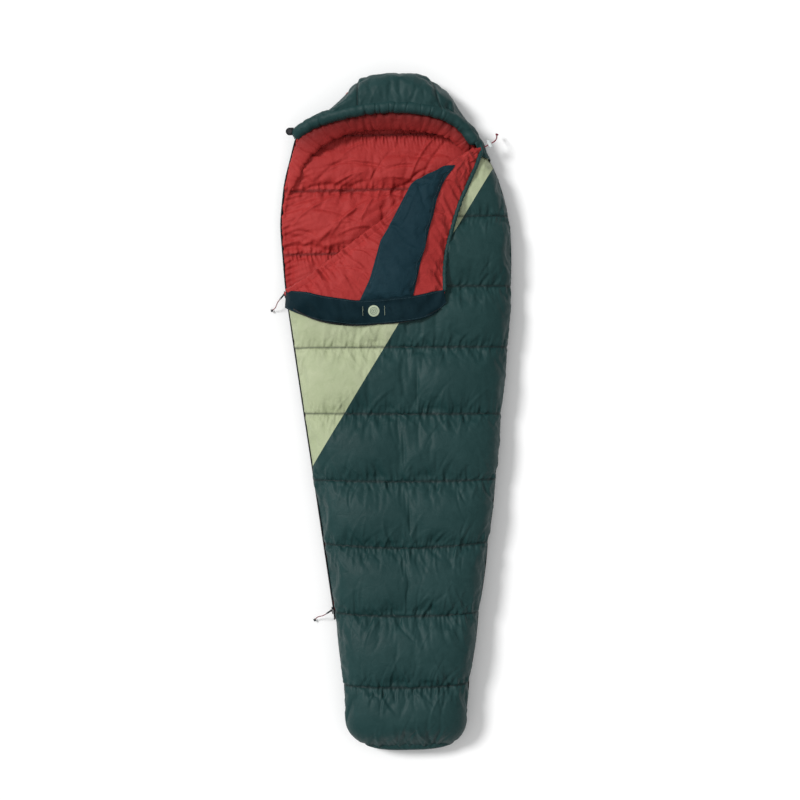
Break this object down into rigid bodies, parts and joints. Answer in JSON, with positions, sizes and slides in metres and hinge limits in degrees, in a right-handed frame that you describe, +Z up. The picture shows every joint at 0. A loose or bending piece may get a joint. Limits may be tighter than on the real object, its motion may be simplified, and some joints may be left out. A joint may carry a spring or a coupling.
{
  "type": "mummy sleeping bag",
  "caption": "Mummy sleeping bag lying open: tapered quilted tube with a hood, a two-way side zip and one front corner folded back over its draft collar.",
  "frame": {"origin": "on the floor plane under the middle of the bag's length, on the underside", "axes": "+Z up, +Y from the foot towards the hood, +X towards the side without the zip"},
  "size_m": [0.7721, 2.13, 0.1763],
  "materials": {
    "shell_green": "quilted nylon taffeta, dark green, slight sheen",
    "shell_sage": "quilted nylon taffeta, sage green",
    "lining_red": "soft polyester taffeta, red",
    "insulation": "white polyester fibre fill",
    "collar_navy": "navy taffeta, matte",
    "zip_black": "black nylon",
    "slider_metal": "black painted zinc",
    "cord_maroon": "braided cord, maroon",
    "lock_grey": "light grey moulded plastic",
    "badge_sage": "embroidered patch, sage"
  },
  "bodies": {
    "bag": {"bottom_shell": "shell_green", "front_shell_main": "shell_green", "footbox_shell": "shell_green", "hood_shell_left": "shell_green", "hood_shell_right": "shell_green", "hood_shell_centre": "shell_green", "hood_rim_tube": "shell_green", "front_shell_corner": "shell_sage", "bottom_liner": "lining_red", "front_liner": "lining_red", "footbox_liner": "lining_red", "hood_liner": "lining_red", "hood_face_roll": "lining_red", "bottom_insulation": "insulation", "front_insulation": "insulation", "footbox_insulation": "insulation", "hood_insulation": "insulation", "hood_rim_padding": "insulation", "zip_lower_tape": "zip_black", "zip_upper_tape": "zip_black", "zip_lower_coil": "zip_black", "zip_upper_coil": "zip_black", "zip_mouth_coil": "zip_black", "zip_bottom_stop": "zip_black", "zip_top_stop": "zip_black", "hood_drawcord": "cord_maroon", "drawcord_tail": "cord_maroon", "drawcord_knot": "cord_maroon", "cord_lock_barrel": "lock_grey"},
    "flap": {"flap_shell": "shell_sage", "flap_insulation": "insulation", "flap_liner": "lining_red", "draft_collar": "collar_navy", "zip_band": "collar_navy", "badge": "badge_sage", "neck_piping": "collar_navy", "flap_zip_tape": "zip_black", "flap_zip_coil": "zip_black"},
    "upper_zip_slider": {"upper_slider": "slider_metal"},
    "upper_zip_pull": {"upper_pull_tab": "slider_metal", "upper_pull_cord": "cord_maroon", "upper_pull_knot": "cord_maroon"},
    "lower_zip_slider": {"lower_slider": "slider_metal"},
    "lower_zip_pull": {"lower_pull_tab": "slider_metal", "lower_pull_cord": "cord_maroon", "lower_pull_knot": "cord_maroon"},
    "lock_button": {"cord_lock_button": "lock_grey"},
    "neck_closure_tab": {"neck_tab": "zip_black", "neck_tab_snap": "lock_grey"}
  },
  "joints": [
    {"name": "flap_fold", "type": "hinge", "parent": "bag", "child": "flap", "pos_m": [-0.355, 0.389, 0.1305], "axis": [-0.809, -0.5878, 0], "range_deg": [0, 172]},
    {"name": "upper_slide", "type": "slide", "parent": "bag", "child": "upper_zip_slider", "axis": [0.1282, -0.9918, 0], "range_m": [0, 0.47]},
    {"name": "upper_pull_swing", "type": "hinge", "parent": "upper_zip_slider", "child": "upper_zip_pull", "pos_m": [-0.35941, 0.37633, 0.04], "axis": [0, 0, 1], "range_deg": [-100, 30]},
    {"name": "lower_slide", "type": "slide", "parent": "bag", "child": "lower_zip_slider", "axis": [-0.1282, 0.9918, 0], "range_m": [0, 0.47]},
    {"name": "lower_pull_swing", "type": "hinge", "parent": "lower_zip_slider", "child": "lower_zip_pull", "pos_m": [-0.23026, -0.62292, 0.04], "axis": [0, 0, 1], "range_deg": [-90, 45]},
    {"name": "lock_press", "type": "slide", "parent": "bag", "child": "lock_button", "axis": [0.4473, -0.8944, 0], "range_m": [0, 0.003], "stiffness_N_per_m": 400, "springref_m": -0.004},
    {"name": "neck_tab_swing", "type": "hinge", "parent": "bag", "child": "neck_closure_tab", "pos_m": [-0.316, 0.889, 0.066], "axis": [0, 1, 0], "range_deg": [0, 90]}
  ]
}
